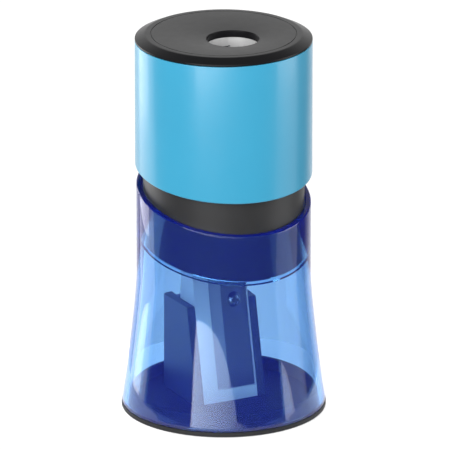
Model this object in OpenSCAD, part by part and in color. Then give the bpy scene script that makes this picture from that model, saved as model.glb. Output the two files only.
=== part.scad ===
// Canister pencil sharpener: a clear shavings container that stands on a black
// base, with a slim sharpener block standing in the base and a wide-mouth block
// in the lift-off head. Millimetres, +Z up, origin at the centre of the underside.

/* [Overall] */
// Height from the table to the cap's flat top
overall_h = 95.1; // [90:0.5:110]
// Radius of the base flange
base_r = 24.95; // [24.6:0.05:27]
// Outer radius of the container's neck
neck_r = 21.2; // [20.8:0.1:22]
// Outer radius of the sleeve
sleeve_r = 21.5; // [21:0.1:23]

/* [Base] */
// Thickness of the flange under the container's edge
flange_h = 1.2; // [1:0.1:2]
// How far the rubber foot stands below the flange
foot_proud = 0.3; // [0.1:0.1:0.6]
// Thickness of the rubber foot
foot_t = 0.8; // [0.6:0.1:1]
// How far the rubber foot stays inside the flange's edge
foot_inset = 1.95; // [1.45:0.1:2.95]
// Width of the rubber foot
foot_w = 4.5; // [3.5:0.5:6]
// Height of the spigot ring above the flange
spigot_h = 3.8; // [3:0.1:6]
// Wall of the spigot ring
spigot_wall = 1.1; // [0.8:0.1:1.6]
// Thickness of the cup's floor
floor_t = 2.1; // [1.8:0.1:2.4]
// Radial clearance of the spigot in the container
spigot_gap = 0.08; // [0.04:0.01:0.1]

/* [Container] */
// Wall of the clear container
wall = 1.5; // [1.2:0.1:1.8]
// Height at which the flare begins, from the table
flare_top = 34; // [31:0.5:36]
// Exponent of the flare's curve
flare_power = 1.32; // [1.2:0.02:1.8]
// How far the base flange stands out past the container's foot
foot_step = 0.1; // [0.05:0.05:0.3]
// Height of the slanted rim on the axis
rim_z = 55; // [53:0.5:57]
// Slant of the rim, lowest at the front
rim_slant = 13.5; // [10:0.5:15]
// Depth of the plug's seat below the rim
seat_depth = 12.1; // [10:0.1:13]
// Thickness of the seat ring inside the neck
seat_t = 1; // [0.8:0.1:1.4]
// How far the seat ring reaches inward
seat_reach = 0.9; // [0.6:0.1:1.2]

/* [Head] */
// Radial clearance of the plug in the neck
plug_gap = 0.08; // [0.04:0.01:0.1]
// Wall of the plug
plug_wall = 1.6; // [1.4:0.1:1.9]
// Height of the sleeve's lower edge on the axis
sleeve_z = 60.9; // [60:0.1:63]
// Slant of the sleeve's lower edge, lowest at the front
sleeve_slant = 6.5; // [4:0.5:8]
// Height of the cap above the sleeve
cap_h = 1.7; // [1.5:0.1:2.5]
// Chamfer width round the cap's top
cap_chamfer = 2.4; // [1.6:0.1:2.8]
// Height of the chamfer round the cap's top
cap_chamfer_h = 1.1; // [0.8:0.1:1.4]
// Radius of the fine groove in the cap's top
ring_r = 17.6; // [16:0.1:18.2]
// Width of the groove in the cap's top
ring_w = 0.22; // [0.15:0.01:0.4]
// Depth of the groove in the cap's top
ring_d = 0.12; // [0.08:0.01:0.3]
// Radial clearance between the sleeve and the pieces inside it
sleeve_gap = 0.05; // [0.02:0.01:0.1]
// Radius of the pencil hole in the cap
cap_hole_r = 6.4; // [6.3:0.1:6.8]
// Distance of the pencil hole from the head's axis, to the front
cap_hole_off = 4.68; // [4.2:0.1:5]

/* [Blocks] */
// Half angle of a sharpened pencil point
point_angle = 11.8; // [11:0.1:12.5]
// Mouth radius of the slim block
slim_mouth_r = 3.9; // [3.7:0.1:4]
// Thin wall of the slim block beside its blade
slim_rail = 0.2; // [0.2:0.05:0.6]
// Length of the slim block
slim_l = 34; // [31:0.5:36]
// Material left of the slim block's mouth
slim_side = 0.45; // [0.4:0.05:0.7]
// Material behind the slim block's bore
slim_back = 4.2; // [3:0.1:4.5]
// Centre of the slim bore from the object's axis, to the left
slim_off = 3.2; // [3:0.1:3.4]
// Centre of the slim bore from the object's axis, to the back
slim_y = 0.4; // [0:0.1:0.8]
// Mouth radius of the wide block
wide_mouth_r = 6.2; // [6:0.05:6.3]
// Wall of the wide block beside its blade
wide_rail = 0.95; // [0.6:0.05:1.3]
// Length of the wide block
wide_l = 31; // [29:0.5:33]
// Material left of the wide block's mouth
wide_side = 1.4; // [1.2:0.1:1.8]
// Material behind the wide block's bore
wide_back = 1.5; // [1.2:0.1:1.7]
// Turn of the wide block about its bore, to the right
wide_turn = 17; // [0:1:20]
// Thickness of the wide block's deck
deck_t = 2; // [1.6:0.1:2.4]

/* [Blades] */
// Blade thickness
blade_t = 0.6; // [0.5:0.05:0.7]
// Depth of a blade's seat below the block's face
seat_d = 0.9; // [0.8:0.05:1.1]
// Width of the blades
blade_w = 9.9; // [9.4:0.1:10.2]
// Width of the ground bevel
bevel_w = 3; // [2:0.1:3.4]
// Length of the blades
blade_l = 28; // [26:0.5:28.5]
// Border between the slim block's mouth end and its blade
slim_border = 2.9; // [2.4:0.1:3.4]
// Border between the wide block's mouth end and its blade
wide_border = 2.1; // [1.8:0.1:3]
// Distance of the blade screw from the blade's mouth end
screw_at = 21.6; // [20:0.1:23]
// Radius of the blade screw's head
screw_head_r = 1.8; // [1.6:0.1:2.1]
// Height of the blade screw's head
screw_head_h = 1.2; // [0.9:0.1:1.5]
// Radius of the blade screw's shank
screw_r = 1; // [0.9:0.05:1.2]
// Length of the blade screw's shank below the blade
screw_l = 3.6; // [3:0.1:4.2]

/* [Holder] */
// Thickness of the holder's side plates
plate_t = 2.1; // [1.6:0.1:2.4]
// Height of the side plates' top above the table
plate_top = 26.4; // [24:0.1:28]
// Distance of the plates' back edge behind the object's axis
plate_back = 13.2; // [12:0.1:14]
// Thickness of the holder's back wall
holder_web = 2; // [1.6:0.1:2.4]
// Gap between a block and the holder's walls
holder_gap = 0.1; // [0.05:0.05:0.2]
// Thickness of the holder's foot plate
holder_foot_t = 1.2; // [1:0.1:1.6]

/* [Small screws] */
// Radius of a small screw's shank
small_r = 0.9; // [0.8:0.05:1.1]
// Radius of a small screw's head
small_head_r = 1.7; // [1.5:0.1:1.9]
// Height of a small screw's head
small_head_h = 0.6; // [0.5:0.1:0.8]
// Length of the head screws' shank
head_screw_l = 3; // [2.6:0.1:3.2]

/* [Hidden] */
$fn = 96;
eps = 0.01;
big = 80;
lean = tan(point_angle);
foot_r = base_r - foot_inset;
foot_inner_r = foot_r - foot_w;
flare_out = base_r - foot_step - neck_r;             // how far the container's foot flares out

flange_top = foot_proud + flange_h;
floor_top = foot_proud + floor_t;
bore_r = neck_r - wall;                              // neck's inner radius
plug_r = bore_r - plug_gap;
plug_inner_r = plug_r - plug_wall;
sleeve_top = overall_h - cap_h;
deck_top = sleeve_top;
plug_top = sleeve_top - deck_t;
sleeve_inner_r = plug_r + sleeve_gap;
seat_z = rim_z - seat_depth;
seat_gap = 0.05;                                     // gap between the plug and its seat
cross_w = 0.6;                                       // width of a cross recess's slots
cross_d = 0.6;                                       // depth of a cross recess
cross_reach = 0.6;                                   // reach of its slots, as a share of the head's radius
blade_gap = 0.15;                                    // clearance of a blade in its seat
hole_gap = 0.1;                                      // clearance round a screw in its hole
pilot_gap = 0.02;                                    // the same where the screw bites
foot_gap = 0.05;                                     // clearance of the rubber foot in its groove
head_sink = 0.05;                                    // depth of a holder screw's head in the floor's underside
screw_edge = 0.4;                                    // plastic left beside a holder screw's head
slim_slot_w = 0.45;                                  // width of the slim block's shavings slot
slim_slot_d = 0.25;                                  // how far it cuts below the blade's seat
wide_slot_w = 1.7;                                   // width of the wide block's shavings slot
wide_slot_d = 0.2;                                   // how far it cuts below the blade's seat
point_r = 0.2;                                       // radius of a bore's narrow end
lead_in = 0.7;                                       // width and depth of the lead-in under the slim block
slim_w = slim_side + slim_mouth_r + blade_w + blade_gap + slim_rail;
wide_w = wide_side + wide_mouth_r + blade_w + blade_gap + wide_rail;
flare_steps = 16;
holder_z = floor_top;
block_z = floor_top;
slim_left = -slim_off - slim_mouth_r - slim_side;    // slim block's left side
slim_back_y = slim_y + slim_mouth_r + slim_back;     // slim block's back
holder_back_y = slim_back_y + holder_gap;
holder_left = slim_left - holder_gap - plate_t;
holder_right = slim_left + slim_w + holder_gap + plate_t;
holder_screw_y = plate_back - small_head_r - screw_edge / 2;
head_screw_y = 14.1;                                 // places of the two screws in the wide block's deck
head_screw_x = 6;
plate_h = plate_top - holder_z;
base_hole_r = slim_mouth_r + 0.3;                    // pencil hole in the base's floor
deck_lap = 0.5;                                      // overlap of the wide block's deck with the block
plate_front = slim_y - slim_mouth_r - seat_d;        // foot of the side plates' leaning front edge

// Outer radius of the container at height z
function shell_r(z) = neck_r
    + flare_out * pow(max(0, (flare_top - z) / (flare_top - flange_top)), flare_power);
function step_z(i) = flange_top + (flare_top - flange_top) * i / flare_steps;
// The spigot ends where the container's inner wall closes in on it
spigot_r = shell_r(flange_top + spigot_h) - wall - spigot_gap;

// Everything above a plane that slants down to the front and crosses the axis at z
module above_slant(z, slant) {
    translate([0, 0, z]) rotate([slant, 0, 0]) translate([-big, -big, 0]) cube(2 * big);
}

// Everything below the same kind of plane
module below_slant(z, slant) {
    translate([0, 0, z]) rotate([slant, 0, 0]) translate([-big, -big, -2 * big]) cube(2 * big);
}

module tube(outer, inner, z0, z1) {
    translate([0, 0, z0]) difference() {
        cylinder(r = outer, h = z1 - z0);
        translate([0, 0, -1]) cylinder(r = inner, h = z1 - z0 + 2);
    }
}

// Lays its children on the leaning face of a block whose mouth radius is mouth_r:
// x across, y along the face from the mouth end, z out of the face
module on_face(mouth_r) {
    translate([0, -mouth_r - seat_d, 0]) rotate([90 - point_angle, 0, 0]) children();
}

// Wedge block with a round bore that narrows to a point. The mouth's centre is at
// the origin, the bore runs up +Z and the blade's face looks to -Y.
module wedge_block(mouth_r, side, back, w, l, border, slot_w, slot_d) {
    difference() {
        translate([-mouth_r - side, 0, 0]) rotate([90, 0, 90]) linear_extrude(w)
            polygon([[-mouth_r - seat_d, 0], [mouth_r + back, 0], [mouth_r + back, l],
                     [-mouth_r - seat_d + lean * l, l]]);
        translate([0, 0, -eps]) cylinder(r1 = mouth_r, r2 = point_r, h = (mouth_r - point_r) / lean);
        // blade seat, open along the cutting edge and at the far end
        on_face(mouth_r) translate([0, border, -seat_d]) cube([blade_w + blade_gap, l, seat_d + 1]);
        // slot where the shavings leave, beside the cutting edge
        on_face(mouth_r) translate([hole_gap - slot_w, border + blade_gap, -seat_d - slot_d])
            cube([slot_w, l, seat_d + slot_d + 1]);
        // pilot hole of the blade screw
        on_face(mouth_r) translate([(blade_w + bevel_w) / 2, border + screw_at, -seat_d - screw_l])
            cylinder(r = screw_r + pilot_gap, h = screw_l + seat_d + 1, $fn = 32);
    }
}

// Blade lying in the seat of a block: ground bevel along its cutting edge at x = 0
module blade(mouth_r, border) {
    on_face(mouth_r) translate([0, border + blade_gap, -seat_d]) difference() {
        translate([0, blade_l, 0]) rotate([90, 0, 0]) linear_extrude(blade_l)
            polygon([[0, 0], [blade_w, 0], [blade_w, blade_t], [bevel_w, blade_t], [0, 0.06]]);
        translate([(blade_w + bevel_w) / 2, screw_at - blade_gap, -1])
            cylinder(r = screw_r + blade_gap, h = blade_t + 2, $fn = 32);
    }
}

// Domed cross-recess screw that clamps a blade
module blade_screw(mouth_r, border) {
    dome_r = (screw_head_r * screw_head_r + screw_head_h * screw_head_h) / (2 * screw_head_h);
    on_face(mouth_r) translate([(blade_w + bevel_w) / 2, border + screw_at, blade_t - seat_d]) difference() {
        union() {
            intersection() {
                translate([0, 0, screw_head_h - dome_r]) sphere(r = dome_r, $fn = 48);
                cylinder(r = screw_head_r, h = screw_head_h, $fn = 48);
            }
            translate([0, 0, screw_head_h / 4 - screw_l - blade_t])
                cylinder(r = screw_r, h = screw_l + blade_t, $fn = 32);
        }
        for (turn = [0, 90]) rotate([0, 0, turn])
            translate([-screw_head_r * cross_reach, -cross_w / 2, screw_head_h - cross_d])
                cube([2 * screw_head_r * cross_reach, cross_w, cross_d + 1]);
    }
}

// Small pan-head screw, head down, shank up
module small_screw(l) {
    difference() {
        union() {
            cylinder(r = small_head_r, h = small_head_h, $fn = 48);
            cylinder(r = small_r, h = small_head_h + l, $fn = 32);
        }
        for (turn = [0, 90]) rotate([0, 0, turn])
            translate([-small_head_r * cross_reach, -cross_w / 2, -1])
                cube([2 * small_head_r * cross_reach, cross_w, 1 + small_head_h / 2]);
    }
}

// Puts its children at the slim block's mouth
module at_slim() { translate([-slim_off, slim_y, block_z]) children(); }

// Puts its children at the wide block's mouth, which opens upward
module at_wide() {
    translate([0, -cap_hole_off, deck_top]) rotate([0, 0, -wide_turn]) rotate([180, 0, 0]) children();
}

// Places of the two screws that hold the block holder to the floor
module holder_screw_places() {
    inset = plate_t + small_head_r + screw_edge;
    for (x = [holder_left + inset, holder_right - inset]) translate([x, holder_screw_y, 0]) children();
}

// Places of the two screws that hold the wide block's deck to the cap
module head_screw_places() {
    for (x = [-head_screw_x, head_screw_x]) translate([x, head_screw_y, 0]) children();
}

module base_cup() {
    color([0.2, 0.2, 0.2]) difference() {
        union() {
            translate([0, 0, foot_proud]) cylinder(r = base_r, h = flange_h);
            translate([0, 0, foot_proud]) cylinder(r = spigot_r, h = flange_h + spigot_h);
        }
        translate([0, 0, floor_top]) cylinder(r = spigot_r - spigot_wall, h = big);
        tube(foot_r + foot_gap, foot_inner_r - foot_gap, 0, foot_t);
        // pencil hole under the slim block, with a lead-in
        translate([-slim_off, slim_y, -1]) cylinder(r = base_hole_r, h = floor_top + 2);
        translate([-slim_off, slim_y, foot_proud - eps])
            cylinder(r1 = base_hole_r + lead_in, r2 = base_hole_r, h = lead_in);
        holder_screw_places() translate([0, 0, -1]) {
            cylinder(r = small_r + hole_gap, h = floor_top + 2, $fn = 32);
            cylinder(r = small_head_r + hole_gap, h = 1 + foot_proud + small_head_h + head_sink, $fn = 48);
        }
    }
}

module foot_pad() {
    color([0.12, 0.12, 0.12]) tube(foot_r, foot_inner_r, 0, foot_t);
}

module block_holder() {
    color([0.08, 0.09, 0.12]) difference() {
        union() {
            for (x = [holder_left, holder_right - plate_t])
                translate([x, 0, holder_z]) rotate([90, 0, 90]) linear_extrude(plate_t)
                    polygon([[plate_front, 0], [plate_back, 0], [plate_back, plate_h],
                             [plate_front + lean * plate_h, plate_h]]);
            translate([holder_left, holder_back_y, holder_z])
                cube([holder_right - holder_left, holder_web, plate_h]);
            translate([holder_left, holder_back_y, holder_z])
                cube([holder_right - holder_left, plate_back - holder_back_y, holder_foot_t]);
        }
        holder_screw_places() translate([0, 0, -1])
            cylinder(r = small_r + pilot_gap, h = holder_z + holder_foot_t + 2, $fn = 32);
    }
}

module holder_screws() {
    color("silver") holder_screw_places() translate([0, 0, foot_proud + head_sink])
        small_screw(floor_t + holder_foot_t - small_head_h - 2 * head_sink);
}

module slim_block() {
    color([0.86, 0.87, 0.88]) at_slim()
        wedge_block(slim_mouth_r, slim_side, slim_back, slim_w, slim_l, slim_border, slim_slot_w, slim_slot_d);
}

module slim_blade() { color([0.62, 0.64, 0.68]) at_slim() blade(slim_mouth_r, slim_border); }
module slim_blade_screw() { color([0.7, 0.71, 0.74]) at_slim() blade_screw(slim_mouth_r, slim_border); }

module container_shell() {
    color([0.25, 0.45, 0.95, 0.4]) difference() {
        union() {
            rotate_extrude() polygon(concat(
                [for (i = [0:flare_steps]) [shell_r(step_z(i)), step_z(i)]],
                [[neck_r, rim_z + neck_r], [bore_r, rim_z + neck_r]],
                [for (i = [flare_steps:-1:0]) [shell_r(step_z(i)) - wall, step_z(i)]]));
            difference() {
                tube(bore_r + wall / 2, bore_r - seat_reach, flare_top, rim_z);
                above_slant(seat_z, rim_slant);
                below_slant(seat_z - seat_t, rim_slant);
            }
        }
        above_slant(rim_z, rim_slant);
    }
}

module plug_collar() {
    color([0.16, 0.16, 0.17]) difference() {
        tube(plug_r, plug_inner_r, seat_z - plug_r, plug_top);
        below_slant(seat_z + seat_gap, rim_slant);
    }
}

module sleeve() {
    color([0.28, 0.7, 0.86]) difference() {
        tube(sleeve_r, sleeve_inner_r, sleeve_z - sleeve_r, sleeve_top);
        below_slant(sleeve_z, sleeve_slant);
    }
}

module top_cap() {
    color([0.2, 0.2, 0.2]) difference() {
        union() {
            translate([0, 0, sleeve_top]) cylinder(r = sleeve_r, h = cap_h - cap_chamfer_h);
            translate([0, 0, overall_h - cap_chamfer_h])
                cylinder(r1 = sleeve_r, r2 = sleeve_r - cap_chamfer, h = cap_chamfer_h);
        }
        translate([0, -cap_hole_off, sleeve_top - 1]) cylinder(r = cap_hole_r, h = cap_h + 2);
        tube(ring_r + ring_w / 2, ring_r - ring_w / 2, overall_h - ring_d, overall_h + 1);
        head_screw_places() translate([0, 0, sleeve_top - eps])
            cylinder(r = small_r + pilot_gap, h = cap_h * 0.8, $fn = 32);
    }
}

module wide_block() {
    color([0.8, 0.8, 0.81]) difference() {
        union() {
            at_wide() wedge_block(wide_mouth_r, wide_side, wide_back, wide_w, wide_l,
                                  wide_border, wide_slot_w, wide_slot_d);
            difference() {
                translate([0, 0, plug_top]) cylinder(r = plug_r, h = deck_t);
                // the deck is open inside the block's outline, and laps its edges
                at_wide() translate([deck_lap - wide_mouth_r - wide_side, deck_lap - wide_mouth_r - seat_d, -1])
                    cube([wide_w - 2 * deck_lap, 2 * wide_mouth_r + seat_d, deck_t + 2]);
            }
        }
        head_screw_places() translate([0, 0, plug_top - 1])
            cylinder(r = small_r + hole_gap, h = deck_t + 2, $fn = 32);
    }
}

module wide_blade() { color([0.62, 0.64, 0.68]) at_wide() blade(wide_mouth_r, wide_border); }
module wide_blade_screw() { color([0.7, 0.71, 0.74]) at_wide() blade_screw(wide_mouth_r, wide_border); }

module head_screws() {
    color("silver") head_screw_places() translate([0, 0, plug_top - small_head_h])
        small_screw(head_screw_l);
}

base_cup();
foot_pad();
block_holder();
holder_screws();
slim_block();
slim_blade();
slim_blade_screw();
container_shell();
plug_collar();
sleeve();
top_cap();
wide_block();
wide_blade();
wide_blade_screw();
head_screws();
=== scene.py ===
"""Canister pencil sharpener: finishes, turned shells, studio and camera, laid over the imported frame."""

import math

import bmesh
import bpy
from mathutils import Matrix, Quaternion, Vector


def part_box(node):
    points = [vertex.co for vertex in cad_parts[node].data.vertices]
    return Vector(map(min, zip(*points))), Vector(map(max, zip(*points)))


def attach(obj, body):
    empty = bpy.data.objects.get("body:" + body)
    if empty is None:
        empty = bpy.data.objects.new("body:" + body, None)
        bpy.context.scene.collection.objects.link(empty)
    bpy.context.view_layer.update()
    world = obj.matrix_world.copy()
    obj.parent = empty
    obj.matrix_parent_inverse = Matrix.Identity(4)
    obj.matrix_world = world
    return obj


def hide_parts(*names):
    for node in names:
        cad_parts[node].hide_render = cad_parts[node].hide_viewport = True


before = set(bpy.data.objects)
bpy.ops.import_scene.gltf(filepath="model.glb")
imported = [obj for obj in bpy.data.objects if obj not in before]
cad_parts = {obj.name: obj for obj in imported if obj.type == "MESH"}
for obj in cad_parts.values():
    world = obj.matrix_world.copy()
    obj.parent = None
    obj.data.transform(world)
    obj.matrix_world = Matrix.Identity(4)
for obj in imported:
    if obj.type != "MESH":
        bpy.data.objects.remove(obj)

bl_info = {
    "name": "Canister Pencil Sharpener",
    "version": (1, 0, 0),
    "blender": (4, 5, 0),
    "location": "View3D > Sidebar > Sharpener",
    "description": "Builds a canister pencil sharpener with a clear shavings container",
    "category": "Add Mesh",
}

MM = 0.001

# Meshes
TURN_SEGMENTS = 160  # steps round a turned shell
ARC_STEPS = 6  # steps round a rounded corner
FLARE_STEPS = 28  # steps down the container's flare
TURN_CREASE = math.radians(32)  # a turned shell's shading breaks at edges sharper than this
EDGE_CREASE = math.radians(20)  # the same for the rounded CAD pieces
BLADE_CREASE = math.radians(5)  # and for the blades, whose bevels are shallow
SHARP_EDGE = math.radians(28)  # edges sharper than this are rounded
FLAT_ENOUGH = math.radians(1)  # faces nearer than this to one plane are joined
WELD = 0.002 * MM  # points nearer than this are joined
BEVEL_LEAST = math.radians(5)  # a blade's bevel turns from its flat by this much or more
BEVEL_MOST = math.radians(20)  # and by this much or less

# Points that soften the two corners of the cap's chamfer
CORNER_BELOW = 0.1 * MM
CORNER_IN = 0.03 * MM
BLEND_BELOW = 0.12 * MM
BLEND_IN = 0.05 * MM
BLEND_REST = 0.015 * MM

# Patterns in the finishes, in cycles per metre
FLOOR_MOTTLE = 30.0
FLOW_WAVES = 40.0
SLEEVE_MOTTLE = 60.0
PLASTIC_MOTTLE = 140.0
SLEEVE_RUBS = 300.0
PLASTIC_RUBS = 420.0
CLEAR_RUBS = 500.0
RUBBER_GRAIN = 1800.0
CAP_GRAIN = 2500.0
BLOCK_GRAIN = 2800.0
SLEEVE_GRAIN = 3000.0
GRINDING = 9000.0

# Where a pattern, from 0 to 1, makes a colour darkest and lightest
DARKEST_AT = 0.3
LIGHTEST_AT = 0.7

# How the grinding lines run: a pattern is long where its share is small
ALONG_BLADE = (0.03, 1.0, 1.0)
ROUND_SCREW = (1.0, 1.0, 0.3)

# Studio
FLOOR_RADIUS = 0.050
FLOOR_SEGMENTS = 96
FLOOR_DROP = 0.02 * MM  # keeps the floor's face apart from the foot's
FLOOR_WHITE = (0.93, 0.93, 0.93)
FLOOR_GLOW = 0.6  # strength of the light that the floor gives of itself
ROOM_FRONT = 0.14  # strength of the room's light behind the camera
ROOM_REAR = 1.08  # and behind the sharpener
ROOM_DIM_BELOW = 0.6  # the room is dim where its direction has less than this share to the rear
ROOM_FULL_ABOVE = 0.9  # and full where it has more than this
LAMP_AIM = 48 * MM  # height on the axis that the softboxes look at
SOFTBOXES = {
    "left": dict(azimuth=-122, elevation=-5, distance=0.7, width=0.50, height=1.1, power=2.8),
    "right": dict(azimuth=91, elevation=-5, distance=0.7, width=0.48, height=1.1, power=1.5),
    "front": dict(
        azimuth=-6, elevation=24, distance=0.8, width=1.24, height=1.04, power=28.0, roll=8, fade=0.0
    ),
    "left_high": dict(azimuth=-126, elevation=9, distance=0.7, width=0.34, height=0.66, power=1.9),
    "right_high": dict(azimuth=88, elevation=14, distance=0.7, width=0.42, height=0.66, power=2.3),
    "overhead": dict(azimuth=0, elevation=89, distance=0.85, width=1.0, height=1.0, power=0.1),
}

# Camera
CAMERA_AZIMUTH = math.radians(-28)
CAMERA_ELEVATION = math.radians(19)
CAMERA_DISTANCE = 2.4
CLIP_END = 100.0
PICTURE_SIDE = 450  # side of the square picture, in pixels
PIXELS_PER_METRE = 4116.0
AXIS_PIXEL = 223.7  # column of the sharpener's axis
BASE_PIXEL = 404.6  # row of the middle of the sharpener's underside


def top_of(node):
    """Height of a node's highest point."""
    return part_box(node)[1].z


def radius_of(node):
    """Half the width of a round node."""
    low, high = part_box(node)
    return (high.x - low.x) / 2


# ---------------------------------------------------------------- sizes and colours


def length(name, description, default):
    """A size in metres that a user can change."""
    return bpy.props.FloatProperty(
        name=name, description=description, default=default, min=0.0, unit="LENGTH", precision=5
    )


def angle(name, description, degrees):
    """An angle that a user can change, with its default in degrees."""
    return bpy.props.FloatProperty(
        name=name, description=description, default=math.radians(degrees), subtype="ANGLE"
    )


def number(name, description, default, most):
    """A plain number that a user can change, from 0 to most."""
    return bpy.props.FloatProperty(name=name, description=description, default=default, min=0.0, max=most)


def colour(name, description, default):
    """A colour that a user can change, with its default as linear red, green and blue."""
    return bpy.props.FloatVectorProperty(
        name=name, description=description, default=default, size=3, subtype="COLOR", min=0.0, max=1.0
    )


class SharpenerSizes(bpy.types.PropertyGroup):
    """Sizes of the turned shells and of the rounded edges."""

    sleeve_low: length("Sleeve edge", "Height of the sleeve's lower edge on the axis", 60.9 * MM)
    sleeve_slant: angle("Sleeve slant", "Slant of the sleeve's lower edge", 6.5)
    sleeve_round: length("Sleeve rounding", "Rounding of the sleeve's lower edge", 0.5 * MM)
    rim_height: length("Rim height", "Height of the container's rim on the axis", 55.0 * MM)
    rim_slant: angle("Rim slant", "Slant of the container's rim", 13.5)
    rim_round: length("Rim rounding", "Rounding of the container's rim", 0.35 * MM)
    seat_depth: length("Seat depth", "Depth of the plug's seat below the rim", 12.1 * MM)
    seat_thick: length("Seat thickness", "Thickness of the seat ring", 1.0 * MM)
    seat_reach: length("Seat reach", "How far the seat ring reaches inward", 0.9 * MM)
    seat_gap: length("Seat gap", "Gap between the plug and its seat", 0.05 * MM)
    wall: length("Container wall", "Thickness of the clear wall", 1.5 * MM)
    neck: length("Neck radius", "Outer radius of the container's neck", 21.2 * MM)
    flare_top: length("Flare top", "Height at which the flare begins", 34.0 * MM)
    flare_power: number("Flare curve", "Exponent of the flare's curve", 1.32, most=4.0)
    foot_round: length("Foot rounding", "Rounding of the container's lower outer edge", 0.25 * MM)
    plug_gap: length("Plug clearance", "Radial clearance of the plug in the neck", 0.08 * MM)
    plug_wall: length("Plug wall", "Wall of the plug", 1.6 * MM)
    plug_round: length("Plug rounding", "Rounding of the plug's lower edge", 0.2 * MM)
    chamfer: length("Cap chamfer", "Width of the chamfer round the cap", 2.4 * MM)
    chamfer_height: length("Cap chamfer height", "Height of the chamfer round the cap", 1.1 * MM)
    chamfer_blend: length("Chamfer blend", "How far the chamfer blends into the cap's top", 0.25 * MM)
    hole_radius: length("Pencil hole", "Radius of the pencil hole in the cap", 6.4 * MM)
    hole_round: length("Pencil hole rounding", "Rounding of the pencil hole's upper edge", 0.2 * MM)
    hole_offset: length("Pencil hole offset", "Distance of the pencil hole from the axis", 4.68 * MM)
    cap_seam: length("Cap seam", "Rounding of the edges where the cap meets the sleeve", 0.22 * MM)
    ring_radius: length("Cap ring", "Radius of the fine groove in the cap's top", 17.6 * MM)
    ring_width: length("Cap ring width", "Width of the groove in the cap's top", 0.22 * MM)
    ring_depth: length("Cap ring depth", "Depth of the groove in the cap's top", 0.12 * MM)
    edge: length("Moulded edges", "Rounding of small moulded edges", 0.15 * MM)
    blade_edge: length("Blade edges", "Rounding of the blades' edges", 0.03 * MM)
    screw_edge: length("Screw edges", "Rounding of the screws' edges", 0.05 * MM)


class SharpenerColours(bpy.types.PropertyGroup):
    """Colours of the plastics and the steel."""

    black: colour("Black plastic", "Cap and base", (0.008, 0.008, 0.009))
    satin: colour("Satin black", "Plug", (0.019, 0.019, 0.020))
    holder: colour("Holder", "Block holder", (0.055, 0.065, 0.100))
    blue: colour("Sleeve blue", "Opaque sleeve", (0.042, 0.315, 0.50))
    pale: colour("Pale grey", "Slim sharpener block", (0.84, 0.84, 0.84))
    grey: colour("Light grey", "Wide sharpener block", (0.50, 0.50, 0.50))
    steel: colour("Steel", "Blades", (0.36, 0.37, 0.40))
    plating: colour("Plating", "Screws", (0.20, 0.21, 0.24))
    honed: colour("Honed steel", "Bevels along the blades' cutting edges", (0.37, 0.38, 0.42))
    rubber: colour("Rubber", "Foot pad", (0.03, 0.03, 0.03))
    clear: colour("Clear blue", "What the clear plastic lets through", (0.01, 0.60, 0.95))
    glow: colour("Pigment blue", "What the clear plastic's pigment scatters back", (0.03, 0.07, 1.0))
    depth: number("Tint depth", "How much light a metre of the clear plastic takes away", 400.0, most=5000.0)
    haze: number("Haze", "Share of light that the clear plastic's pigment scatters back", 0.07, most=1.0)


# ---------------------------------------------------------------- materials


class Finish:
    """A material under construction: a Principled shader and helpers that feed it."""

    def __init__(self, name, base, rough, metallic=0.0, coat=0.0):
        self.material = bpy.data.materials.new(name)
        self.material.use_nodes = True
        self.tree = self.material.node_tree
        self.shader = self.tree.nodes["Principled BSDF"]
        self.shader.inputs["Base Color"].default_value = (*base, 1.0)
        self.shader.inputs["Roughness"].default_value = rough
        self.shader.inputs["Metallic"].default_value = metallic
        self.shader.inputs["Coat Weight"].default_value = coat
        self.base = base
        self.place = self.tree.nodes.new("ShaderNodeTexCoord")

    def stretched(self, scale):
        """Object coordinates multiplied by scale, along x, y and z."""
        node = self.tree.nodes.new("ShaderNodeMapping")
        node.inputs["Scale"].default_value = scale
        self.tree.links.new(self.place.outputs["Object"], node.inputs["Vector"])
        return node.outputs["Vector"]

    def noise(self, scale, detail=4.0, stretch=(1.0, 1.0, 1.0)):
        """A noise pattern in the object's own space."""
        node = self.tree.nodes.new("ShaderNodeTexNoise")
        node.inputs["Scale"].default_value = scale
        node.inputs["Detail"].default_value = detail
        self.tree.links.new(self.stretched(stretch), node.inputs["Vector"])
        return node.outputs["Fac"]

    def vary(self, source, socket, low, high, start=0.35, end=0.65):
        """Feeds a socket from a pattern: low up to start, high from end."""
        node = self.tree.nodes.new("ShaderNodeMapRange")
        node.inputs["From Min"].default_value = start
        node.inputs["From Max"].default_value = end
        node.inputs["To Min"].default_value = low
        node.inputs["To Max"].default_value = high
        self.tree.links.new(source, node.inputs["Value"])
        self.tree.links.new(node.outputs["Result"], self.shader.inputs[socket])

    def tint(self, source, share):
        """Varies the base colour a little, darker and lighter."""
        ramp = self.tree.nodes.new("ShaderNodeValToRGB")
        darker, lighter = ramp.color_ramp.elements
        darker.position = DARKEST_AT
        lighter.position = LIGHTEST_AT
        darker.color = (*[c * (1 - share) for c in self.base], 1.0)
        lighter.color = (*[min(1.0, c * (1 + share)) for c in self.base], 1.0)
        self.tree.links.new(source, ramp.inputs["Fac"])
        self.tree.links.new(ramp.outputs["Color"], self.shader.inputs["Base Color"])

    def bump(self, source, height):
        """Raises the surface by a pattern, in metres."""
        node = self.tree.nodes.new("ShaderNodeBump")
        node.inputs["Distance"].default_value = height
        node.inputs["Strength"].default_value = 1.0
        self.tree.links.new(source, node.inputs["Height"])
        self.tree.links.new(node.outputs["Normal"], self.shader.inputs["Normal"])


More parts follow.
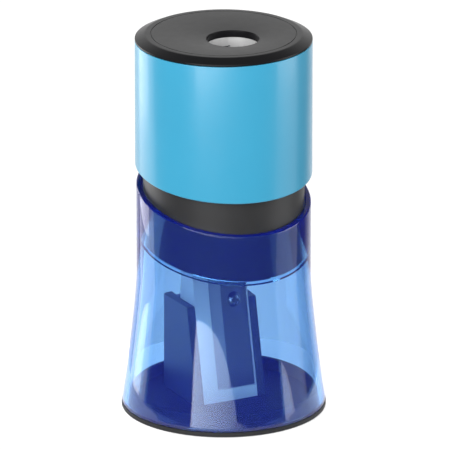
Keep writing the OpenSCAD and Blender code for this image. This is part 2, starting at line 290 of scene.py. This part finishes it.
def moulded(name, base, rough, grain=CAP_GRAIN, height=0.008 * MM, specular=0.5):
    """Moulded plastic: fine spark-eroded grain, uneven gloss and handling marks."""
    finish = Finish(name, base, rough)
    finish.shader.inputs["Specular IOR Level"].default_value = specular
    finish.tint(finish.noise(PLASTIC_MOTTLE), share=0.03)
    finish.vary(finish.noise(PLASTIC_RUBS, detail=6.0), "Roughness", low=rough * 0.96, high=rough * 1.05)
    finish.bump(finish.noise(grain, detail=2.0), height)
    return finish.material


def glossy_sleeve(name, base):
    """Glossy coloured plastic, a little uneven in colour and shine."""
    finish = Finish(name, base, rough=0.3, coat=0.2)
    finish.shader.inputs["Coat Roughness"].default_value = 0.12
    finish.tint(finish.noise(SLEEVE_MOTTLE, detail=3.0), share=0.015)
    finish.vary(finish.noise(SLEEVE_RUBS, detail=6.0), "Roughness", low=0.28, high=0.34)
    finish.bump(finish.noise(SLEEVE_GRAIN, detail=2.0), height=0.0006 * MM)
    return finish.material


def ground_steel(name, base, lay, rough=0.3, metallic=1.0):
    """Ground steel: grinding lines along one direction, the lay, and a dull, uneven shine."""
    finish = Finish(name, base, rough, metallic=metallic)
    lines = finish.noise(GRINDING, detail=2.0, stretch=lay)
    finish.tint(lines, share=0.01)
    finish.vary(lines, "Roughness", low=rough * 0.98, high=rough * 1.03)
    return finish.material


def clear_plastic(name, tint, depth, glow, share):
    """Clear tinted plastic, coloured by what its thickness takes from the light.

    share is how much of the light the pigment scatters back at the surface, in the colour glow.
    """
    finish = Finish(name, (1.0, 1.0, 1.0), rough=0.02)
    finish.shader.inputs["Transmission Weight"].default_value = 1.0
    finish.shader.inputs["IOR"].default_value = 1.49
    rubs = finish.noise(CLEAR_RUBS, detail=6.0)
    finish.vary(rubs, "Roughness", low=0.01, high=0.035, start=0.45, end=0.8)
    finish.bump(finish.noise(FLOW_WAVES, detail=1.0), height=0.0005 * MM)
    tree = finish.tree
    output = tree.nodes["Material Output"]
    volume = tree.nodes.new("ShaderNodeVolumeAbsorption")
    volume.inputs["Color"].default_value = (*tint, 1.0)
    volume.inputs["Density"].default_value = depth
    tree.links.new(volume.outputs["Volume"], output.inputs["Volume"])
    if share > 0:
        pigment = tree.nodes.new("ShaderNodeBsdfDiffuse")
        pigment.inputs["Color"].default_value = (*glow, 1.0)
        blend = tree.nodes.new("ShaderNodeMixShader")
        blend.inputs["Fac"].default_value = share
        tree.links.new(finish.shader.outputs["BSDF"], blend.inputs[1])
        tree.links.new(pigment.outputs["BSDF"], blend.inputs[2])
        tree.links.new(blend.outputs["Shader"], output.inputs["Surface"])
    return finish.material


# ---------------------------------------------------------------- mesh tools


def new_piece(name, mesh, material, body, slot, *nodes):
    """Puts a finished mesh in the scene in place of CAD nodes."""
    piece = bpy.data.objects.new(name, mesh)
    bpy.context.scene.collection.objects.link(piece)
    piece.data.materials.clear()
    piece.data.materials.append(material)
    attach(piece, body)
    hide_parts(*nodes)
    return piece


def arc(centre, radius, start, end):
    """Points (r, z) on a corner's arc, from one angle to the other in degrees."""
    turns = [math.radians(start + (end - start) * i / ARC_STEPS) for i in range(ARC_STEPS + 1)]
    return [(centre[0] + radius * math.cos(t), centre[1] + radius * math.sin(t)) for t in turns]


def slanted(points, slant=0.0, off=0.0):
    """Rows (r, z, slope, offset) for turned(), from points (r, z)."""
    return [(r, z, math.tan(slant), off) for r, z in points]


def turned(name, rows):
    """A closed ring of rows turned round the axis.

    A row's height rises to the back by its slope, and its offset moves its middle to the front.
    """
    made = bmesh.new()
    rings = []
    for radius, height, slope, off in rows:
        ring = []
        for i in range(TURN_SEGMENTS):
            turn = 2 * math.pi * i / TURN_SEGMENTS
            x = radius * math.sin(turn)
            y = -radius * math.cos(turn) - off
            ring.append(made.verts.new((x, y, height + slope * y)))
        rings.append(ring)
    for here, there in zip(rings, rings[1:] + rings[:1]):
        for i in range(TURN_SEGMENTS):
            j = (i + 1) % TURN_SEGMENTS
            made.faces.new((here[i], here[j], there[j], there[i])).smooth = True
    bmesh.ops.recalc_face_normals(made, faces=made.faces)
    mesh = bpy.data.meshes.new(name)
    made.to_mesh(mesh)
    made.free()
    mesh.set_sharp_from_angle(angle=TURN_CREASE)
    return mesh


def refined(node, width, crease=EDGE_CREASE):
    """A copy of a CAD node's mesh with its sharp edges rounded. Shading breaks at the crease angle."""
    made = bmesh.new()
    made.from_mesh(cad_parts[node].data)
    bmesh.ops.remove_doubles(made, verts=made.verts, dist=WELD)
    bmesh.ops.dissolve_limit(made, angle_limit=FLAT_ENOUGH, verts=made.verts, edges=made.edges)
    closed = [edge for edge in made.edges if len(edge.link_faces) == 2]
    sharp = [edge for edge in closed if edge.calc_face_angle(0) > SHARP_EDGE]
    bmesh.ops.bevel(
        made, geom=sharp, offset=width, segments=2, profile=0.5, affect="EDGES", clamp_overlap=True
    )
    for face in made.faces:
        face.smooth = True
    mesh = bpy.data.meshes.new(node + "_finished")
    made.to_mesh(mesh)
    made.free()
    mesh.set_sharp_from_angle(angle=crease)
    return mesh


def hone(mesh, material):
    """Gives a second material to the bevel: the faces a little off either flat side of the blade."""
    mesh.materials.append(material)
    flat = max(mesh.polygons, key=lambda face: face.area).normal.copy()
    for face in mesh.polygons:
        turn = face.normal.angle(flat)
        if BEVEL_LEAST < min(turn, math.pi - turn) < BEVEL_MOST:
            face.material_index = 1


# ---------------------------------------------------------------- outlines of the turned shells


def container_rows(size):
    """The container: up the flare, over the slanted rim, past the plug's seat and down the inside."""
    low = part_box("container_shell")[0].z
    flare = radius_of("container_shell") - size.neck
    span = size.flare_top - low

    def outer(z):
        """Outer radius at a height: the neck, flaring toward the foot."""
        return size.neck + flare * max(0.0, (size.flare_top - z) / span) ** size.flare_power

    heights = [low + span * i / FLARE_STEPS for i in range(FLARE_STEPS + 1)]
    foot = size.foot_round
    rim = size.rim_round
    inner = size.neck - size.wall
    seat = size.rim_height - size.seat_depth
    seat_low = seat - size.seat_thick
    seat_in = inner - size.seat_reach
    rows = slanted(arc((outer(low) - foot, low + foot), foot, -90, 0))
    rows += slanted([(outer(z), z) for z in heights[1:]])
    rows += slanted(arc((size.neck - rim, size.rim_height - rim), rim, 0, 90), size.rim_slant)
    rows += slanted(arc((inner + rim, size.rim_height - rim), rim, 90, 180), size.rim_slant)
    rows += slanted([(inner, seat), (seat_in, seat)], size.rim_slant)
    rows += slanted([(seat_in, seat_low), (inner, seat_low)], size.rim_slant)
    rows += slanted([(outer(z) - size.wall, z) for z in reversed(heights)])
    return rows


def sleeve_rows(size, outer, inner):
    """The sleeve: a slanted lower edge, rounded, and a flat top under the cap."""
    top = top_of("sleeve")
    seam = size.cap_seam
    soft = size.sleeve_round
    softer = soft / 2
    rows = slanted(arc((outer - soft, size.sleeve_low + soft), soft, -90, 0), size.sleeve_slant)
    rows += slanted(arc((outer - seam, top - seam), seam, 0, 90))
    rows += slanted([(inner, top)])
    rows += slanted(arc((inner + softer, size.sleeve_low + softer), softer, 180, 270), size.sleeve_slant)
    return rows


def plug_rows(size, inner):
    """The plug: a plain tube whose lower edge slants like the rim."""
    low = size.rim_height - size.seat_depth + size.seat_gap
    top = top_of("plug_collar")
    bore = inner - size.plug_wall
    edge = size.plug_round
    rows = slanted(arc((inner - edge, low + edge), edge, -90, 0), size.rim_slant)
    rows += slanted([(inner, top), (bore, top)])
    rows += slanted([(bore, low)], size.rim_slant)
    return rows


def cap_rows(size, outer):
    """The cap: a chamfer with softened corners, a ring groove and an off-centre hole."""
    low = top_of("sleeve")
    top = top_of("top_cap")
    seam = size.cap_seam
    blend = size.chamfer_blend
    chamfer_low = top - size.chamfer_height
    chamfer_in = outer - size.chamfer
    rows = slanted([(outer - seam, low), (outer, low + seam), (outer, chamfer_low - CORNER_BELOW)])
    rows += slanted([(outer - CORNER_IN, chamfer_low), (chamfer_in + blend, top - BLEND_BELOW)])
    rows += slanted([(chamfer_in - BLEND_IN, top - BLEND_REST), (chamfer_in - blend, top)])
    half = size.ring_width / 2
    floor = top - size.ring_depth
    rows += slanted([(size.ring_radius + half, top), (size.ring_radius + half / 2, floor)])
    rows += slanted([(size.ring_radius - half / 2, floor), (size.ring_radius - half, top)])
    lip = size.hole_round
    rows += slanted(arc((size.hole_radius + lip, top - lip), lip, 90, 180), off=size.hole_offset)
    rows += slanted([(size.hole_radius, low)], off=size.hole_offset)
    return rows


# ---------------------------------------------------------------- pieces


class SHARPENER_OT_container(bpy.types.Operator):
    """Turns the clear container with its slanted rim, plug seat and flared foot"""

    bl_idname = "sharpener.container"
    bl_label = "Container"

    def execute(self, context):
        size = context.scene.sharpener_sizes
        paint = context.scene.sharpener_colours
        clear = clear_plastic("clear_blue_plastic", paint.clear, paint.depth, paint.glow, paint.haze)
        shell = turned("container", container_rows(size))
        new_piece("container", shell, clear, "container", "clear_blue", "container_shell")
        return {"FINISHED"}


class SHARPENER_OT_head(bpy.types.Operator):
    """Turns the sleeve, the plug and the cap of the lift-off head"""

    bl_idname = "sharpener.head"
    bl_label = "Head shells"

    def execute(self, context):
        size = context.scene.sharpener_sizes
        paint = context.scene.sharpener_colours
        outer = radius_of("sleeve")
        inner = size.neck - size.wall - size.plug_gap

        blue = glossy_sleeve("sleeve_blue", paint.blue)
        sleeve = turned("sleeve_shell", sleeve_rows(size, outer, inner))
        new_piece("sleeve_shell", sleeve, blue, "head", "blue_plastic", "sleeve")

        black = moulded("black_plastic", paint.black, rough=0.30, specular=0.14)
        satin = moulded("satin_black", paint.satin, rough=0.46)
        plug = turned("plug", plug_rows(size, inner))
        new_piece("plug", plug, satin, "head", "black_plastic", "plug_collar")

        cap = turned("cap", cap_rows(size, outer))
        new_piece("cap", cap, black, "head", "black_plastic", "top_cap")
        return {"FINISHED"}


class SHARPENER_OT_base(bpy.types.Operator):
    """Finishes the base cup and its foot pad"""

    bl_idname = "sharpener.base"
    bl_label = "Base"

    def execute(self, context):
        edge = context.scene.sharpener_sizes.edge
        paint = context.scene.sharpener_colours
        black = moulded("base_black", paint.black, rough=0.6, specular=0.3)
        rubber = moulded("foot_rubber", paint.rubber, rough=0.85, grain=RUBBER_GRAIN, height=0.05 * MM)
        new_piece("base", refined("base_cup", edge), black, "base", "black_plastic", "base_cup")
        new_piece("foot_ring", refined("foot_pad", edge), rubber, "base", "foot_rubber", "foot_pad")
        return {"FINISHED"}


class SHARPENER_OT_blocks(bpy.types.Operator):
    """Finishes the two wedge blocks, their holder, blades and screws"""

    bl_idname = "sharpener.blocks"
    bl_label = "Blocks and blades"

    def execute(self, context):
        size = context.scene.sharpener_sizes
        paint = context.scene.sharpener_colours
        pale = moulded("pale_grey", paint.pale, rough=0.42, grain=BLOCK_GRAIN)
        grey = moulded("light_grey", paint.grey, rough=0.42, grain=BLOCK_GRAIN)
        dark = moulded("holder_black", paint.holder, rough=0.4)
        ground = ground_steel("ground_blade", paint.steel, ALONG_BLADE)
        honed = ground_steel("honed_bevel", paint.honed, ALONG_BLADE, rough=0.5, metallic=0.3)
        plated = ground_steel("plated_screw", paint.plating, ROUND_SCREW)

        pieces = (
            ("block_holder", "holder", "base", "holder_plastic", dark, size.edge),
            ("slim_block", "slim_sharpener", "base", "grey_plastic", pale, size.edge),
            ("slim_blade", "slim_cutter", "base", "blade_steel", ground, size.blade_edge),
            ("slim_blade_screw", "slim_screw", "base", "screw_steel", plated, size.screw_edge),
            ("holder_screws", "holder_fixings", "base", "screw_steel", plated, size.screw_edge),
            ("wide_block", "wide_sharpener", "head", "grey_plastic", grey, size.edge),
            ("wide_blade", "wide_cutter", "head", "blade_steel", ground, size.blade_edge),
            ("wide_blade_screw", "wide_screw", "head", "screw_steel", plated, size.screw_edge),
            ("head_screws", "head_fixings", "head", "screw_steel", plated, size.screw_edge),
        )
        for node, name, body, slot, material, width in pieces:
            blade = material == ground
            mesh = refined(node, width, BLADE_CREASE if blade else EDGE_CREASE)
            new_piece(name, mesh, material, body, slot, node)
            if blade:
                hone(mesh, honed)
        return {"FINISHED"}


# ---------------------------------------------------------------- studio


def direction(azimuth, elevation):
    """The unit vector from the sharpener toward a place round it, azimuth 0 being its front."""
    across = math.cos(elevation)
    return Vector((math.sin(azimuth) * across, -math.cos(azimuth) * across, math.sin(elevation)))


def fade_across(light, fade):
    """Dims an area light evenly from its left side to a share of its strength at its right."""
    light.use_nodes = True
    tree = light.node_tree
    place = tree.nodes.new("ShaderNodeNewGeometry")
    split = tree.nodes.new("ShaderNodeSeparateXYZ")
    ramp = tree.nodes.new("ShaderNodeMapRange")
    ramp.inputs["To Min"].default_value = 1.0
    ramp.inputs["To Max"].default_value = fade
    tree.links.new(place.outputs["Parametric"], split.inputs["Vector"])
    tree.links.new(split.outputs["X"], ramp.inputs["Value"])
    tree.links.new(ramp.outputs["Result"], tree.nodes["Emission"].inputs["Strength"])


def softbox(name, azimuth, elevation, distance, width, height, power, roll=0.0, fade=1.0):
    """An area light that looks at the sharpener.

    Azimuth, elevation and roll are in degrees, azimuth from the camera and to the right.
    fade is the strength left at its right-hand side, as a share of the strength at its left.
    """
    light = bpy.data.lights.new(name, "AREA")
    light.shape = "RECTANGLE"
    light.size = width
    light.size_y = height
    light.energy = power
    if fade < 1.0:
        fade_across(light, fade)
    lamp = bpy.data.objects.new(name, light)
    back = direction(CAMERA_AZIMUTH + math.radians(azimuth), math.radians(elevation))
    lamp.location = Vector((0, 0, LAMP_AIM)) + back * distance
    lamp.rotation_mode = "QUATERNION"
    lamp.rotation_quaternion = (-back).to_track_quat("-Z", "Y") @ Quaternion((0, 0, 1), math.radians(roll))
    bpy.context.scene.collection.objects.link(lamp)


def studio_world():
    """A room that is white behind the sharpener and dim behind the camera."""
    world = bpy.data.worlds.new("studio")
    world.use_nodes = True
    tree = world.node_tree
    place = tree.nodes.new("ShaderNodeTexCoord")
    facing = tree.nodes.new("ShaderNodeVectorMath")
    facing.operation = "DOT_PRODUCT"
    facing.inputs[1].default_value = (-math.sin(CAMERA_AZIMUTH), math.cos(CAMERA_AZIMUTH), 0.0)
    ramp = tree.nodes.new("ShaderNodeMapRange")
    ramp.interpolation_type = "SMOOTHSTEP"
    ramp.inputs["From Min"].default_value = ROOM_DIM_BELOW
    ramp.inputs["From Max"].default_value = ROOM_FULL_ABOVE
    ramp.inputs["To Min"].default_value = ROOM_FRONT
    ramp.inputs["To Max"].default_value = ROOM_REAR
    tree.links.new(place.outputs["Generated"], facing.inputs[0])
    tree.links.new(facing.outputs["Value"], ramp.inputs["Value"])
    tree.links.new(ramp.outputs["Result"], tree.nodes["Background"].inputs["Strength"])
    tree.nodes["Background"].inputs["Color"].default_value = (1.0, 1.0, 1.0, 1.0)
    return world


def studio_floor():
    """A small round floor that shines a little, so that its edge is lost in the white room behind."""
    made = bmesh.new()
    bmesh.ops.create_circle(made, cap_ends=True, radius=FLOOR_RADIUS, segments=FLOOR_SEGMENTS)
    mesh = bpy.data.meshes.new("floor")
    made.to_mesh(mesh)
    made.free()
    floor = bpy.data.objects.new("floor", mesh)
    floor.location.z = -FLOOR_DROP
    bpy.context.scene.collection.objects.link(floor)
    paper = Finish("floor_white", FLOOR_WHITE, rough=0.9)
    paper.vary(paper.noise(FLOOR_MOTTLE), "Roughness", low=0.85, high=0.95)
    paper.shader.inputs["Emission Color"].default_value = (1.0, 1.0, 1.0, 1.0)
    paper.shader.inputs["Emission Strength"].default_value = FLOOR_GLOW
    mesh.materials.append(paper.material)
    return floor


def studio_camera():
    """A far camera with a long lens, placed so that the base's middle falls on its pixel."""
    right = Vector((math.cos(CAMERA_AZIMUTH), math.sin(CAMERA_AZIMUTH), 0))
    back = direction(CAMERA_AZIMUTH, CAMERA_ELEVATION)
    across = (PICTURE_SIDE / 2 - AXIS_PIXEL) / PIXELS_PER_METRE
    height = (BASE_PIXEL - PICTURE_SIDE / 2) / PIXELS_PER_METRE / math.cos(CAMERA_ELEVATION)
    target = Vector((0, 0, height)) + right * across
    lens = bpy.data.cameras.new("camera")
    lens.lens = lens.sensor_width * CAMERA_DISTANCE * PIXELS_PER_METRE / PICTURE_SIDE
    lens.clip_end = CLIP_END
    camera = bpy.data.objects.new("camera", lens)
    camera.location = target + back * CAMERA_DISTANCE
    camera.rotation_mode = "QUATERNION"
    camera.rotation_quaternion = (-back).to_track_quat("-Z", "Y")
    bpy.context.scene.collection.objects.link(camera)
    return camera


class SHARPENER_OT_stage(bpy.types.Operator):
    """Sets the floor, the soft light and the camera"""

    bl_idname = "sharpener.stage"
    bl_label = "Stage"

    def execute(self, context):
        scene = context.scene
        scene.view_settings.view_transform = "Standard"
        studio_floor()
        scene.world = studio_world()
        for name, lamp in SOFTBOXES.items():
            softbox(name, **lamp)
        scene.camera = studio_camera()
        return {"FINISHED"}


class SHARPENER_PT_panel(bpy.types.Panel):
    """Lists the sharpener's sizes, colours and builders"""

    bl_label = "Sharpener"
    bl_idname = "SHARPENER_PT_panel"
    bl_space_type = "VIEW_3D"
    bl_region_type = "UI"
    bl_category = "Sharpener"

    def draw(self, context):
        for operator in OPERATORS:
            self.layout.operator(operator.bl_idname)
        for group in (context.scene.sharpener_sizes, context.scene.sharpener_colours):
            for name in group.__annotations__:
                self.layout.prop(group, name)


OPERATORS = (
    SHARPENER_OT_stage,
    SHARPENER_OT_container,
    SHARPENER_OT_head,
    SHARPENER_OT_base,
    SHARPENER_OT_blocks,
)
CLASSES = (SharpenerSizes, SharpenerColours, *OPERATORS, SHARPENER_PT_panel)


def register():
    for item in CLASSES:
        bpy.utils.register_class(item)
    bpy.types.Scene.sharpener_sizes = bpy.props.PointerProperty(type=SharpenerSizes)
    bpy.types.Scene.sharpener_colours = bpy.props.PointerProperty(type=SharpenerColours)


def unregister():
    del bpy.types.Scene.sharpener_colours
    del bpy.types.Scene.sharpener_sizes
    for item in reversed(CLASSES):
        bpy.utils.unregister_class(item)


def main():
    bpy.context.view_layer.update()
    register()
    bpy.ops.sharpener.stage()
    bpy.ops.sharpener.container()
    bpy.ops.sharpener.head()
    bpy.ops.sharpener.base()
    bpy.ops.sharpener.blocks()


if __name__ == "__main__":
    main()
